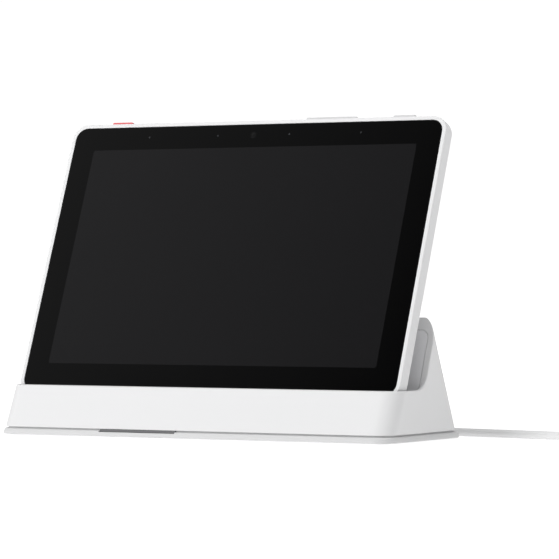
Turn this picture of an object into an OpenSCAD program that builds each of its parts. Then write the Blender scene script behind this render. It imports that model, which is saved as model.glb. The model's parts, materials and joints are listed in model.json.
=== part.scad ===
// Smart home hub: a leaning touch tablet that lifts out of a wedge-shaped charging dock.
// Millimetres. +X to the viewer's right, +Y to the back, +Z up. The origin is on the table,
// under the middle of the dock.

/* [Tablet] */
// Width of the lit area of the display
active_w = 172.2; // [160:0.1:180]
// Height of the lit area of the display
active_h = 107.6; // [100:0.1:112]
// Black border at the sides and the top of the lit area
bezel = 11.65; // [10:0.05:13]
// Black border below the lit area
chin = 13; // [12:0.1:14]
// White lip that shows round the glass
lip = 2; // [1.5:0.1:2.5]
// Thickness of the tablet
tablet_t = 8.8; // [8.8:0.1:9.2]
// Corner radius of the glass
glass_r = 5.8; // [4:0.1:7]
// Lean of the tablet back from upright, in degrees
tilt = 21.5; // [20:0.5:23]
// Distance from the dock's middle to the foot of the lit area, towards the front
glass_front = 18.6; // [18:0.1:19]
// Height of the foot of the lit area above the table
glass_z = 32.8; // [32.5:0.1:33.2]

/* [Dock] */
// Width of the dock's upper body
body_w = 203.2; // [203:0.1:205]
// Depth of the dock's upper body at its foot
body_d = 73.4; // [73:0.1:75]
// How far the base stands out beyond the body all round
base_lip = 0.8; // [0.5:0.1:1.2]
// Height of the bar in front of the glass
bar_z = 22.8; // [22:0.1:23.5]
// Height of the back ridge
ridge_z = 54.8; // [50:0.1:56]
// Corner radius of the body in plan
body_r = 8; // [6:0.5:9]
// Lean of the bar's front face, in degrees
front_lean = 24.6; // [23:0.1:26]
// Lean of the rear face, in degrees
rear_lean = 25.5; // [24:0.1:26.5]
// Distance from the glass to the back rest behind it
rest_gap = 19.5; // [18.5:0.1:20.5]
// Wall thickness of the mouldings
wall = 2.2; // [1.8:0.1:2.4]

/* [Buttons] */
// Length of the red call button
call_len = 11.4; // [10:0.1:14]
// Length of the volume rocker
rocker_len = 26.6; // [24:0.1:30]
// Length of the power button
power_len = 11.5; // [10:0.1:14]
// How far the buttons stand out of the tablet's top edge
button_out = 2.1; // [1.8:0.1:2.4]

/* [Cable] */
// Diameter of the power cable
cable_d = 3.7; // [3.5:0.1:4]
// Radius of the stored coil at the middle of its turns
coil_r = 22; // [20:0.5:24]

/* [Hidden] */
$fn = 48;
eps = 0.01;

// Tablet outline, measured up its own slope from the foot of the lit area
glass_w = active_w + 2 * bezel;
glass_top = active_h + bezel;
glass_bot = -chin;
tab_w = glass_w + 2 * lip;
tab_top = glass_top + lip;
tab_bot = glass_bot - lip;
tab_r = glass_r + lip;
glass_t = 1.1;
gasket_t = 0.4;
frame_t = 5.8;
frame_wall = 1.8;
back_wall = 1.3;
back_round = tablet_t - frame_t;
back_in = tablet_t - back_wall;

// Layers behind the glass
panel_y = glass_t + gasket_t;
light_y = 2.9;
plate_y = 4;
deck_y = 4.9;

// Heights of the mid plate's screws, up the slope
PLATE_Z = [4, 30, 108];

// Buttons on the top edge
button_y = 4;
button_t = 2.4;
button_gap = 0.25;
flange_z = tab_top - frame_wall - 0.3;
call_x = -75.3;
rocker_x = 37.8;
power_x = 75.5;
dome_z = flange_z - 0.6 - 0.55;
pivot_r = 0.5;
pivot_z = flange_z - 1;

// Charging contacts
pin_pitch = 5;
pin_y = 4.4;
PIN_X = [for (i = [-1.5:1:1.5]) i * pin_pitch];
slot_clear = 0.3;
seat_z = tab_bot - 0.1;
liner_t = 0.8;
floor_z = seat_z - liner_t;

// Dock levels
foot_out = 0.3;
body_z = 3.7;
deck_z = 3;
base_w = body_w + 2 * base_lip;
base_d = body_d + 2 * base_lip;
front_y = -body_d / 2;
rear_y = body_d / 2;
slot_w = tab_w + 2 * slot_clear;
trough_r = 9.5;
hump_w = 168;
hump_y = tablet_t + 0.5;
hump_top = 21.5;
panel_w = body_w - 6.4;
panel_t = 0.6;
panel_in = 0.2;
ridge_r = 5;

// Places in the dock
light_x = -26.6;
light_w = 40;
foot_r = 4.5;
FEET = [for (sx = [-1, 1]) for (sy = [-1, 1]) [sx * 94.5, sy * 30]];
SCREWS = [for (sx = [-1, 1]) for (sy = [-1, 1]) [sx * 80, sy * 22 + 2]];
exit_z = 8;
relief_y = 49;
board_z = -24.2;
board_t = 1.2;

// Cable: the stretch from the strain relief to the coil, then the coil and its plug
CABLE = [[0, 49, 8], [0.5, 54, 7.2], [3, 60, 5.4], [8, 64.8, 3.6], [15, 67.2, 2.2], [24, 67.2, 1.85],
    [36, 64.6, 1.85], [50, 60.6, 1.85], [70, 55.9, 1.85], [93, 51, 1.85], [120, 45.5, 1.85],
    [146, 40.1, 1.85], [158, 37.4, 1.85], [169, 35, 1.85]];
coil_c = [174, 60];
coil_rows = 3;
coil_h = coil_rows * cable_d;
TAIL = [[176, 30.7, 6.4], [183, 31, 5.2], [190, 31.4, 4.2], [197, 31.5, 3.9]];
plug_at = TAIL[3];
plug_len = 22;
plug_w = 12;
plug_h = 7.8;

// ---------- shared shapes ----------

// Puts children, drawn flat against the tablet, at the tablet's lean. Inside, +Y goes through
// the tablet from the glass to the back, and +Z goes up its slope.
module lean() {
    translate([0, -glass_front, glass_z]) rotate([-tilt, 0, 0]) children();
}

// Point of the side view, from a distance behind the glass and a distance up the slope
function side(d, u) = [-glass_front + d * cos(tilt) + u * sin(tilt),
                       glass_z - d * sin(tilt) + u * cos(tilt)];

// Flat outline with rounded corners, from z0 to z1
module outline(w, z0, z1, r) {
    translate([-w / 2, z0 + r]) square([w, z1 - z0 - 2 * r]);
    translate([-w / 2 + r, z0]) square([w - 2 * r, z1 - z0]);
    for (x = [-w / 2 + r, w / 2 - r]) for (z = [z0 + r, z1 - r]) translate([x, z]) circle(r);
}

// Rounded slab lying in the tablet's plane, from depth y0 to y1
module slab(w, z0, z1, r, y0, y1) {
    translate([0, y1, 0]) rotate([90, 0, 0]) linear_extrude(y1 - y0) outline(w, z0, z1, r);
}

// Block between two corners
module block(a, b) {
    translate(a) cube(b - a);
}

// Rod along +Y
module rod_y(p, r, len) {
    translate(p) rotate([-90, 0, 0]) cylinder(r = r, h = len);
}

// Solid between side-view points, across the given width
module side_prism(points, w) {
    translate([-w / 2, 0, 0]) rotate([90, 0, 90]) linear_extrude(w) polygon(points);
}

// ---------- tablet ----------

module cover_glass() {
    color("black") lean() slab(glass_w, glass_bot, glass_top, glass_r, 0, glass_t);
}

module glass_gasket() {
    color("dimgray") lean() difference() {
        slab(glass_w - 0.4, glass_bot + 0.2, glass_top - 0.2, glass_r, glass_t, panel_y);
        slab(glass_w - 5, glass_bot + 2.5, glass_top - 2.5, 4, glass_t - 1, panel_y + 1);
    }
}

module display_panel() {
    color("darkslategray") lean() slab(active_w + 4, -2, active_h + 2, 1, panel_y, light_y);
}

module backlight() {
    color("white") lean() slab(active_w + 4.6, -4, active_h + 2.3, 1, light_y, plate_y);
}

// Opening for a button through the top wall of the frame
module button_hole(x, len) {
    translate([x, 0, 0])
        block([-len / 2 - button_gap, button_y - button_t / 2 - button_gap, flange_z],
              [len / 2 + button_gap, button_y + button_t / 2 + button_gap, tab_top + 1]);
}

module front_frame() {
    inner_w = tab_w - 2 * frame_wall;
    color("white") lean() difference() {
        slab(tab_w, tab_bot, tab_top, tab_r, 0, frame_t);
        slab(glass_w + 0.2, glass_bot - 0.1, glass_top + 0.1, glass_r + 0.1, -1, panel_y);
        slab(glass_w - 5, glass_bot + 2.5, glass_top - 2.5, 3.4, 1, frame_t);
        slab(inner_w, tab_bot + frame_wall, tab_top - frame_wall, tab_r - frame_wall, 2.5, 7);
        button_hole(call_x, call_len);
        button_hole(rocker_x, rocker_len);
        button_hole(power_x, power_len);
        block([-12.1, 2.7, tab_bot - 1], [12.1, frame_t + 1, glass_bot + 1]);
    }
}

// Rows of sound holes in the back, behind one speaker
module sound_holes(x) {
    for (i = [-3.5:1:3.5]) for (j = [-1:1:1])
        rod_y([x + i * 2.4, frame_t, 56 + j * 2.4], 0.65, tablet_t);
}

module rear_cover() {
    steps = [[frame_t, 0], [frame_t + back_round * 0.5, back_round * 0.134],
             [frame_t + back_round * 0.866, back_round * 0.5], [tablet_t - 0.02, back_round]];
    color("whitesmoke") lean() difference() {
        hull() for (s = steps)
            slab(tab_w - 2 * s[1], tab_bot + s[1], tab_top - s[1], tab_r - s[1], s[0], s[0] + 0.02);
        slab(tab_w - 4.4, tab_bot + 2.2, tab_top - 2.2, tab_r - 2.2, frame_t - 1, back_in);
        sound_holes(-80);
        sound_holes(80);
    }
}

module mid_plate() {
    color("silver") lean() difference() {
        slab(190, -10, 116.4, 5, plate_y, plate_y + 0.8);
        block([-20, 3, -7], [20, 6, -3.2]);
        block([-8, 3, 110.4], [8, 6, 118]);
        for (x = [-91, 91]) for (z = PLATE_Z) rod_y([x, 3, z], 1.05, 3);
    }
}

module main_board() {
    color("seagreen") lean() block([-30, deck_y, 62], [60, deck_y + 0.9, 108]);
}

module board_shields() {
    color("silver") lean() {
        block([-24, deck_y + 0.9, 74], [4, back_in - 0.15, 100]);
        block([8, deck_y + 0.9, 70], [30, back_in - 0.15, 92]);
        block([34, deck_y + 0.9, 76], [54, back_in - 0.15, 96]);
    }
}

// One flat battery cell, from x0 to x1
module battery(x0, x1) {
    color("gray") lean() translate([(x0 + x1) / 2, 0, 0])
        slab(x1 - x0, 2, 58, 1.5, deck_y, back_in - 0.1);
}

module battery_left() { battery(-63, -1.5); }
module battery_right() { battery(1.5, 63); }

// Speaker box with its port facing the sound holes
module speaker(x) {
    color("dimgray") lean() difference() {
        translate([x, 0, 0]) slab(25, 38, 74, 2, deck_y, back_in - 0.1);
        translate([x, 0, 0]) slab(20, 52, 60, 2, deck_y + 0.8, back_in + 1);
    }
}

module speaker_left() { speaker(-80); }
module speaker_right() { speaker(80); }

module front_camera() {
    color("black") lean() {
        block([-3.5, panel_y + 0.1, 111.2], [3.5, 5.4, 116.6]);
        rod_y([0, glass_t, 114.2], 1.4, 0.6);
    }
}

// Strip with two microphones behind the glass's small holes
module mic_board(x) {
    color("darkgreen") lean() {
        block([x - 21, deck_y, 111.5], [x + 21, deck_y + 0.6, 116]);
        for (s = [-1, 1]) translate([x + s * 18.7, 0, 0])
            block([-1.5, deck_y + 0.6, 112.6], [1.5, deck_y + 1.6, 115]);
    }
}

module mic_board_left() { mic_board(-37.8); }
module mic_board_right() { mic_board(37.8); }

module antenna() {
    color("goldenrod") lean() {
        block([-90, deck_y, 112], [-62, deck_y + 0.2, 115.6]);
        block([66, deck_y, 110], [90, deck_y + 0.2, 114]);
    }
}

module display_flex() {
    color("peru") lean() {
        block([-12, 3.1, -6.4], [12, 3.3, -4.1]);
        block([-12, 3.1, -6.6], [12, deck_y + 0.3, -6.4]);
        block([-12, deck_y + 0.1, -6.4], [12, deck_y + 0.3, 1.6]);
    }
}

module button_flex() {
    color("peru") lean() {
        block([-82, 2.9, dome_z - 1], [86, 5.2, dome_z - 0.6]);
        for (x = [call_x, rocker_x - 10, rocker_x + 10, power_x])
            translate([x, button_y, dome_z - 0.6]) cylinder(r = 1.1, h = 0.6);
    }
}

module plate_screws() {
    color("silver") lean() for (x = [-91, 91]) for (z = PLATE_Z) {
        rod_y([x, plate_y + 0.8, z], 1.8, 0.8);
        rod_y([x, 2.6, z], 1, 2.3);
    }
}

// Key that slides through the top wall, with a flange inside that keeps it in
module key(x, len) {
    translate([x, button_y, 0]) {
        translate([0, button_t / 2, 0]) rotate([90, 0, 0]) linear_extrude(button_t)
            outline(len, flange_z - 0.1, tab_top + button_out, 0.4);
        block([-len / 2 - 1, -button_t / 2, flange_z - 0.6], [len / 2 + 1, button_t / 2, flange_z - 0.05]);
    }
}

module call_button() { color("indianred") lean() key(call_x, call_len); }
module power_button() { color("white") lean() key(power_x, power_len); }

module volume_rocker() {
    color("white") lean() {
        key(rocker_x, rocker_len);
        rod_y([rocker_x, button_y - button_t / 2, pivot_z], pivot_r, button_t);
    }
}
module contact_block() {
    color("white") lean() difference() {
        block([-12, 2.8, tab_bot], [12, frame_t, glass_bot + 2.7]);
        for (x = PIN_X) translate([x, pin_y, tab_bot - 1]) cylinder(r = 1.1, h = 2);
    }
}

module contact_pads() {
    color("gold") lean() for (x = PIN_X) translate([x, pin_y, tab_bot]) cylinder(r = 1.1, h = 1);
}

// ---------- dock ----------

// Side view of the body, as a wedge with a shelf at the bar's height. d is how far inside the
// outer surface it lies.
function front_at(z, d) = front_y + d / cos(front_lean) + (z - body_z) * tan(front_lean);
function rear_at(z, d) = rear_y - d / cos(rear_lean) - (z - body_z) * tan(rear_lean);
function rest_at(z) = -glass_front + (z - glass_z) * tan(tilt) + rest_gap / cos(tilt);
turn = 90 - tilt;
shelf_y = rest_at(bar_z) - trough_r * tan(turn / 2);
SIDE = concat(
    [[rear_at(body_z, 0), body_z], [front_at(body_z, 0), body_z], [front_at(bar_z, 0), bar_z]],
    [for (a = [0:turn / 6:turn]) [shelf_y + trough_r * sin(a), bar_z + trough_r * (1 - cos(a))]],
    [[rest_at(ridge_z), ridge_z], [rear_at(ridge_z, 0), ridge_z]]);

// Wedge blank whose upright corners are rounded: side view, front corners, rear corners and
// the ridge's corners, each as a prism along its own edge
module wedge(points, d) {
    far = 130;
    w = body_w - 2 * d;
    r = body_r - d;
    intersection() {
        side_prism(points, w);
        translate([0, front_y, body_z]) rotate([-front_lean, 0, 0]) translate([0, 0, -far / 2])
            linear_extrude(2 * far) outline(w, d, far, r);
        translate([0, rear_y, body_z]) rotate([rear_lean, 0, 0]) translate([0, 0, -far / 2])
            linear_extrude(2 * far) outline(w, -far, -d, r + 2);
        lean() slab(w, -far / 2, side_up(ridge_z) - d, ridge_r - d / 2, -far / 2, far);
    }
}

// Distance up the slope at which the back rest reaches height z
function side_up(z) = (z - glass_z + rest_gap * sin(tilt)) / cos(tilt);

// Cavity under the slot's floor and behind the back rest
under = floor_z - wall;
under_d = (front_at(glass_z + under * cos(tilt), wall) + glass_front - under * sin(tilt))
          / (cos(tilt) + sin(tilt) * tan(front_lean));
apex_z = ridge_z - 9;
CAVITY = [[rear_at(body_z - 1, wall), body_z - 1], [front_at(body_z - 1, wall), body_z - 1],
          side(under_d, under), side(rest_gap + wall, under), side(rest_gap + wall, side_up(apex_z)),
          [rear_at(apex_z, wall), apex_z]];

module dock_shell() {
    color("white") difference() {
        union() {
            difference() {
                wedge(SIDE, 0);
                lean() block([-slot_w / 2, -0.45, floor_z], [slot_w / 2, rest_gap, 90]);
                wedge(CAVITY, wall);
            }
            lean() slab(hump_w, floor_z - 1, hump_top, 5, hump_y, rest_gap + 0.5);
            lean() block([-hump_w / 2, hump_y, floor_z - 1], [hump_w / 2, rest_gap + 0.5, floor_z + 6]);
        }
        lean() slab(hump_w - 4, under - 4, hump_top - 2, 3, hump_y + 2, rest_gap + wall + eps);
        lean() difference() {
            slab(panel_w, floor_z + 2.5, side_up(ridge_z) - 6, 4,
                 rest_gap - eps, rest_gap + panel_in + panel_t);
            slab(hump_w + 3, floor_z - 6, hump_top + 1.5, 6.5, rest_gap - 1, rest_gap + 2);
        }
        lean() for (s = [-1, 1]) translate([s * 45, 0, 0])
            slab(30.2, 1.9, 16.1, 3.1, hump_y - 1, hump_y + 0.6);
        lean() block([-12.1, 2.1, under - 2], [12.1, 6.7, floor_z + 1]);
        rod_y([0, 28, exit_z], 3.6, 12);
    }
}

module backrest_panel() {
    color("gainsboro") lean() difference() {
        slab(panel_w - 0.2, floor_z + 2.6, side_up(ridge_z) - 6.1, 3.9,
             rest_gap + panel_in, rest_gap + panel_in + panel_t);
        slab(hump_w + 3.2, floor_z - 6, hump_top + 1.6, 6.6, rest_gap - 1, rest_gap + 2);
    }
}

module rest_pads() {
    color("gray") lean() for (s = [-1, 1]) translate([s * 45, 0, 0])
        slab(30, 2, 16, 3, tablet_t + 0.15, hump_y + 0.6);
}

module slot_liner() {
    color("gray") lean() difference() {
        block([-slot_w / 2 + 0.1, -0.35, floor_z], [slot_w / 2 - 0.1, hump_y - 0.1, seat_z]);
        block([-12.6, 1.6, floor_z - 1], [12.6, 7.2, seat_z + 1]);
    }
}

// Rounded plate in plan, inset by d from the base's outline
module plan_plate(d, z0, z1) {
    translate([0, 0, z0]) linear_extrude(z1 - z0)
        outline(base_w - 2 * d, -base_d / 2 + d, base_d / 2 - d, body_r + base_lip - d);
}

module base_plate() {
    color("white") difference() {
        union() {
            plan_plate(0, foot_out, 1.5);
            plan_plate(0.6, 1.5, 2.2);
            plan_plate(1.2, 2.2, deck_z);
            plan_plate(2.2, deck_z - 0.1, body_z);
            plan_plate(4.6, body_z - 0.1, 5.2);
        }
        plan_plate(6.2, 2.4, 7);
        block([-4, base_d / 2 - 8, 4.3], [4, base_d / 2, 7]);
        block([light_x - light_w / 2 - 0.1, -base_d / 2 - 1, 2.3],
              [light_x + light_w / 2 + 0.1, -base_d / 2 + 8, 7]);
        for (p = FEET) translate([p[0], p[1], -1]) cylinder(r = foot_r + 0.05, h = 2.3);
        for (p = SCREWS) translate([p[0], p[1], -1]) {
            cylinder(r = 1.6, h = 6);
            cylinder(r = 3.1, h = 2.4);
        }
    }
}

// One rubber foot, pressed into its pocket in the base
module foot(p) {
    color("lightgray") translate([p[0], p[1], 0]) cylinder(r = foot_r, h = 1.25);
}

module foot_front_left() { foot(FEET[0]); }
module foot_rear_left() { foot(FEET[1]); }
module foot_front_right() { foot(FEET[2]); }
module foot_rear_right() { foot(FEET[3]); }

module base_screws() {
    color("silver") for (p = SCREWS) translate([p[0], p[1], 0]) {
        translate([0, 0, 0.5]) cylinder(r = 2.8, h = 0.9);
        translate([0, 0, 1.3]) cylinder(r = 1.4, h = 6);
    }
}

// Steel weight on the base, from x0 to x1
module ballast(x0, x1) {
    color("slategray") block([x0, 6, 2.5], [x1, 29, 9.5]);
}

module ballast_left() { ballast(-72, -10); }
module ballast_right() { ballast(10, 72); }

module pogo_block() {
    color("dimgray") lean() difference() {
        block([-12, 2.2, board_z + board_t], [12, 6.6, seat_z - 0.25]);
        for (x = PIN_X) translate([x, pin_y, board_z]) cylinder(r = 0.8, h = 12);
    }
}

module pogo_barrels() {
    color("gold") lean() for (x = PIN_X) translate([x, pin_y, board_z + board_t]) difference() {
        cylinder(r = 0.78, h = 6.6);
        translate([0, 0, 0.4]) cylinder(r = 0.58, h = 8);
    }
}

// Each spring is drawn pressed solid, so the pin above it has its whole travel free
module pogo_springs() {
    color("silver") lean() for (x = PIN_X) translate([x, pin_y, board_z + board_t + 0.42]) difference() {
        cylinder(r = 0.5, h = 1.6);
        translate([0, 0, -1]) cylinder(r = 0.3, h = 4);
    }
}

module pogo_pins() {
    color("gold") lean() for (x = PIN_X) translate([x, pin_y, board_z + board_t + 3.1]) {
        cylinder(r = 0.53, h = 3);
        cylinder(r = 0.4, h = tab_bot - 0.04 - board_z - board_t - 3.1);
    }
}

module charge_board() {
    color("seagreen") lean() block([-32, -2, board_z], [32, 16, board_z + board_t]);
}

module light_guide() {
    color("dimgray") block([light_x - light_w / 2, front_y + 0.5, 2.35],
                           [light_x + light_w / 2, -31.1, 3.6]);
}

module light_board() {
    color("seagreen") {
        block([light_x - 18, -30.4, 2.45], [light_x + 18, -29.6, 7]);
        for (i = [-1:1]) block([light_x + i * 12 - 1, -31, 2.5], [light_x + i * 12 + 1, -30.4, 3.6]);
    }
}

module cable_clamp() {
    color("white") difference() {
        block([-6, 17, 2.4], [6, 22, 11.5]);
        rod_y([0, 10, exit_z], 1.9, 20);
    }
}

module inner_lead() {
    color("gainsboro") rod_y([0, -11.3, exit_z], 1.8, 38.3);
}

module lead_plug() {
    color("white") lean() block([-4, 9, board_z + board_t], [4, 15, board_z + 5.6]);
}

module strain_relief() {
    color("white") {
        rod_y([0, 27, exit_z], 5, 1.8);
        rod_y([0, 28.8, exit_z], 3.5, 7.2);
        translate([0, 36, exit_z]) rotate([-90, 0, 0]) cylinder(r1 = 3.3, r2 = 2.3, h = relief_y - 36);
    }
}

// ---------- cable ----------

// Smooth point at step t between p[1] and p[2] of four points in a row
function blend4(p, t) = 0.5 * (2 * p[1] + (p[2] - p[0]) * t
    + (2 * p[0] - 5 * p[1] + 4 * p[2] - p[3]) * t * t
    + (3 * p[1] - p[0] - 3 * p[2] + p[3]) * t * t * t);

// The route with steps points between each two of its own
function smooth(route, steps) = let (n = len(route)) concat(
    [for (i = [0:n - 2]) for (k = [0:steps - 1])
        blend4([route[max(i - 1, 0)], route[i], route[i + 1], route[min(i + 2, n - 1)]], k / steps)],
    [route[n - 1]]);

function unit(v) = v / norm(v);

// Ring of points round p, square to the direction dir
function ring(p, dir, r, sides) = let (a = unit(cross(dir, [0, 0, 1])), b = cross(a, dir))
    [for (k = [0:sides - 1]) p + r * (cos(360 * k / sides) * a + sin(360 * k / sides) * b)];

// Tube swept along a route
module tube(route, r, steps, sides) {
    path = smooth(route, steps);
    n = len(path);
    points = [for (i = [0:n - 1])
        each ring(path[i], unit(path[min(i + 1, n - 1)] - path[max(i - 1, 0)]), r, sides)];
    sides_faces = [for (i = [0:n - 2]) for (k = [0:sides - 1]) let (m = (k + 1) % sides)
        [i * sides + k, i * sides + m, (i + 1) * sides + m, (i + 1) * sides + k]];
    ends = [[for (k = [sides - 1:-1:0]) k], [for (k = [0:sides - 1]) (n - 1) * sides + k]];
    polyhedron(points, concat(sides_faces, ends), convexity = 4);
}

module power_cable() {
    color("white") tube(CABLE, cable_d / 2, 2, 8);
}

module cable_coil() {
    color("white") translate([coil_c[0], coil_c[1], 0]) rotate_extrude()
        translate([coil_r - 1.5 * cable_d, 0]) square([3 * cable_d, coil_h]);
}

module cable_tail() {
    color("white") tube(TAIL, cable_d / 2, 2, 8);
}

// Puts children at the plug's rear end, with +X along the plug
module at_plug() {
    translate(plug_at) children();
}

module plug_body() {
    color("white") at_plug() translate([0, 0, -plug_h / 2]) linear_extrude(plug_h)
        translate([plug_len / 2, 0]) outline(plug_len, -plug_w / 2, plug_w / 2, 2);
}

module plug_tongue() {
    color("silver") at_plug() difference() {
        block([plug_len, -6, -2.25], [plug_len + 12, 6, 2.25]);
        block([plug_len + 1, -5.6, 0.2], [plug_len + 13, 5.6, 1.9]);
    }
}

cover_glass();
glass_gasket();
display_panel();
backlight();
front_frame();
rear_cover();
mid_plate();
main_board();
board_shields();
battery_left();
battery_right();
speaker_left();
speaker_right();
front_camera();
mic_board_left();
mic_board_right();
antenna();
display_flex();
button_flex();
plate_screws();
call_button();
volume_rocker();
power_button();
contact_block();
contact_pads();
dock_shell();
backrest_panel();
rest_pads();
slot_liner();
base_plate();
foot_front_left();
foot_rear_left();
foot_front_right();
foot_rear_right();
base_screws();
ballast_left();
ballast_right();
pogo_block();
pogo_barrels();
pogo_springs();
pogo_pins();
charge_board();
light_guide();
light_board();
cable_clamp();
inner_lead();
lead_plug();
strain_relief();
power_cable();
cable_coil();
cable_tail();
plug_body();
plug_tongue();
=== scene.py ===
"""Looks of a smart home hub: a leaning touch tablet in its wedge-shaped charging dock.

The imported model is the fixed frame. Every new piece is a surface worked out as whole numpy arrays in
millimetres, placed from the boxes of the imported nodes, and put into the mesh in metres.
"""

import json
import logging
import math
from dataclasses import dataclass, field
from enum import Enum

import bmesh
import bpy
import numpy as np
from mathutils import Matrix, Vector

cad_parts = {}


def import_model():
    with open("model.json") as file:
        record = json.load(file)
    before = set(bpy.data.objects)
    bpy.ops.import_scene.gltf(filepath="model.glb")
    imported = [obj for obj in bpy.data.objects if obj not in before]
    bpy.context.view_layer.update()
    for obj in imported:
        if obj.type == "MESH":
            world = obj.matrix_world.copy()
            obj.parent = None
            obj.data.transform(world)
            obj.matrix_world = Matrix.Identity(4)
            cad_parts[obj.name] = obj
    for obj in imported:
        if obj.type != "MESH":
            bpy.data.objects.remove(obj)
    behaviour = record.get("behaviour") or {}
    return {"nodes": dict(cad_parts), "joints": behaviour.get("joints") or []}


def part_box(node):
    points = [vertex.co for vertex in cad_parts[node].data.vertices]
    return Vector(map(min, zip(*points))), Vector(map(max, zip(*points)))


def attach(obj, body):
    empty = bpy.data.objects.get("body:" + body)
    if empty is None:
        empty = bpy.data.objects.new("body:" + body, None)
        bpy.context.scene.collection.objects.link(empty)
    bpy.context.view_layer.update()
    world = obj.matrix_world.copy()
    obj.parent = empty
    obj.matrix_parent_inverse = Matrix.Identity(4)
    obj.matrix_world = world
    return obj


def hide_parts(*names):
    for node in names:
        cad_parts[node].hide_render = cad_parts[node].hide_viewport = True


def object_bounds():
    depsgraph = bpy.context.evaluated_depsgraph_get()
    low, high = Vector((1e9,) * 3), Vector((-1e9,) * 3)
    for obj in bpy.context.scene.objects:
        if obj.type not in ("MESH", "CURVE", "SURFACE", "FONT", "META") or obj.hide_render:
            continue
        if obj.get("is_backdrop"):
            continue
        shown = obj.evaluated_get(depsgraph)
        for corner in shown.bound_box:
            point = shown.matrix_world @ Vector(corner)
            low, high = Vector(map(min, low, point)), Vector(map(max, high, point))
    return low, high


MM = 0.001
LEAST_RADIUS = 0.12
SHARP_ANGLE = math.radians(38)
log = logging.getLogger("hub")

Colour = tuple[float, float, float]
Point = tuple[float, float, float]
Piece = bpy.types.Object
Tree = bpy.types.NodeTree
Node = bpy.types.Node
FEET = ("foot_front_left", "foot_rear_left", "foot_front_right", "foot_rear_right")


# ---------- helpers ----------


def add_object(name: str, data: bpy.types.ID) -> Piece:
    """Makes an object and links it into the scene.

    Args:
        name: the object's name.
        data: its mesh, camera or light.

    Returns:
        The new object.
    """
    made = bpy.data.objects.new(name, data)
    bpy.context.scene.collection.objects.link(made)
    return made


def set_inputs(node: Node, values: dict[str, object]) -> None:
    """Sets a shader node's inputs, each to the value under its name."""
    for name, value in values.items():
        node.inputs[name].default_value = value


# ---------- surfaces ----------


def box_mm(node: str) -> tuple[np.ndarray, np.ndarray]:
    """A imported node's lowest and highest corners at rest, in millimetres."""
    low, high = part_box(node)
    return np.array(low) / MM, np.array(high) / MM


@dataclass(frozen=True)
class Rounded:
    """A flat outline with straight sides and round corners, in millimetres."""

    width: float
    height: float
    radius: float
    corner_points: int = 12

    def rows(self, inset: np.ndarray) -> np.ndarray:
        """The outline again at each inset.

        Each corner is an arc about its own centre. An inset d takes d off the arc's radius, down to
        LEAST_RADIUS, and from there it moves the centre instead, so the sides stay parallel.

        Args:
            inset: how far inside the outline each row lies, one number a row.

        Returns:
            Points as an array of rows, points round the outline, and two coordinates.
        """
        inset = np.asarray(inset, float)[:, None]
        radius = np.maximum(self.radius - inset, LEAST_RADIUS)
        quarter = np.linspace(0, math.pi / 2, self.corner_points)
        angle = (quarter[None, :] + np.arange(4)[:, None] * math.pi / 2).ravel()[None, :]
        side_x = np.repeat([1, -1, -1, 1], self.corner_points)[None, :]
        side_y = np.repeat([1, 1, -1, -1], self.corner_points)[None, :]
        x = side_x * (self.width / 2 - inset - radius) + radius * np.cos(angle)
        y = side_y * (self.height / 2 - inset - radius) + radius * np.sin(angle)
        return np.stack([x, y], axis=2)


@dataclass(frozen=True)
class Leaning:
    """The plane of a leaning slab: x across, depth through it from the front, and up its slope."""

    corner: np.ndarray
    width: float
    depth: float
    height: float
    tilt: float

    @classmethod
    def of(cls, node: str, up: np.ndarray) -> "Leaning":
        """The slab that fills a leaning node's box.

        The box's extents in Y and Z are height*sin + depth*cos and height*cos + depth*sin of the tilt,
        which gives the slab's height and depth.

        Args:
            node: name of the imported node.
            up: direction up the slope, from the lifting joint's axis.

        Returns:
            The slab, with its corner at the middle of its lower front edge.
        """
        low, high = box_mm(node)
        tilt = math.atan2(up[1], up[2])
        s, c = math.sin(tilt), math.cos(tilt)
        height, depth = np.linalg.solve([[s, c], [c, s]], (high - low)[1:])
        corner = np.array([(low[0] + high[0]) / 2, low[1], low[2] + depth * s])
        return cls(corner, float(high[0] - low[0]), float(depth), float(height), tilt)

    def reach(self, other: "Leaning") -> tuple[float, float]:
        """Where another slab's corner lies in this one.

        The corner's offset in (Y, Z) is multiplied by (cos, -sin) of the tilt for the distance through
        the slab, and by (sin, cos) for the distance up it.

        Args:
            other: a slab with the same lean.

        Returns:
            Its distance through this slab from the front, and its distance up the slope.
        """
        s, c = math.sin(self.tilt), math.cos(self.tilt)
        _, y, z = other.corner - self.corner
        return y * c - z * s, y * s + z * c

    def sweep(self, profile: np.ndarray, radius: float) -> np.ndarray:
        """A profile, pairs of distance inside the outline and through the slab, swept round the outline."""
        rows = Rounded(self.width, self.height, radius).rows(profile[:, 0])
        return self.place(rows[..., 0], profile[:, 1:], rows[..., 1] + self.height / 2)

    def place(self, x: np.ndarray, depth: np.ndarray, up: np.ndarray) -> np.ndarray:
        """Points from places on the slab.

        Each is the corner plus x along X, and in (Y, Z) depth*(cos, -sin) + up*(sin, cos) of the tilt.

        Args:
            x: distances across, from the slab's middle.
            depth: distances through the slab, from its front.
            up: distances up the slope, from its lower edge.

        Returns:
            The points in millimetres, with three coordinates on the last axis.
        """
        s, c = math.sin(self.tilt), math.cos(self.tilt)
        x, depth, up = np.broadcast_arrays(x, depth, up)
        return np.stack(
            [
                self.corner[0] + x,
                self.corner[1] + depth * c + up * s,
                self.corner[2] - depth * s + up * c,
            ],
            axis=-1,
        )


def bend(start: float, stop: float, centre: tuple[float, float], radius: float, n: int = 5) -> np.ndarray:
    """Points on an arc of a profile, from one angle to another in degrees, as centre + radius*(cos, sin)."""
    a = np.radians(np.linspace(start, stop, n))
    return np.array(centre) + radius * np.stack([np.cos(a), np.sin(a)], axis=1)


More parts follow.
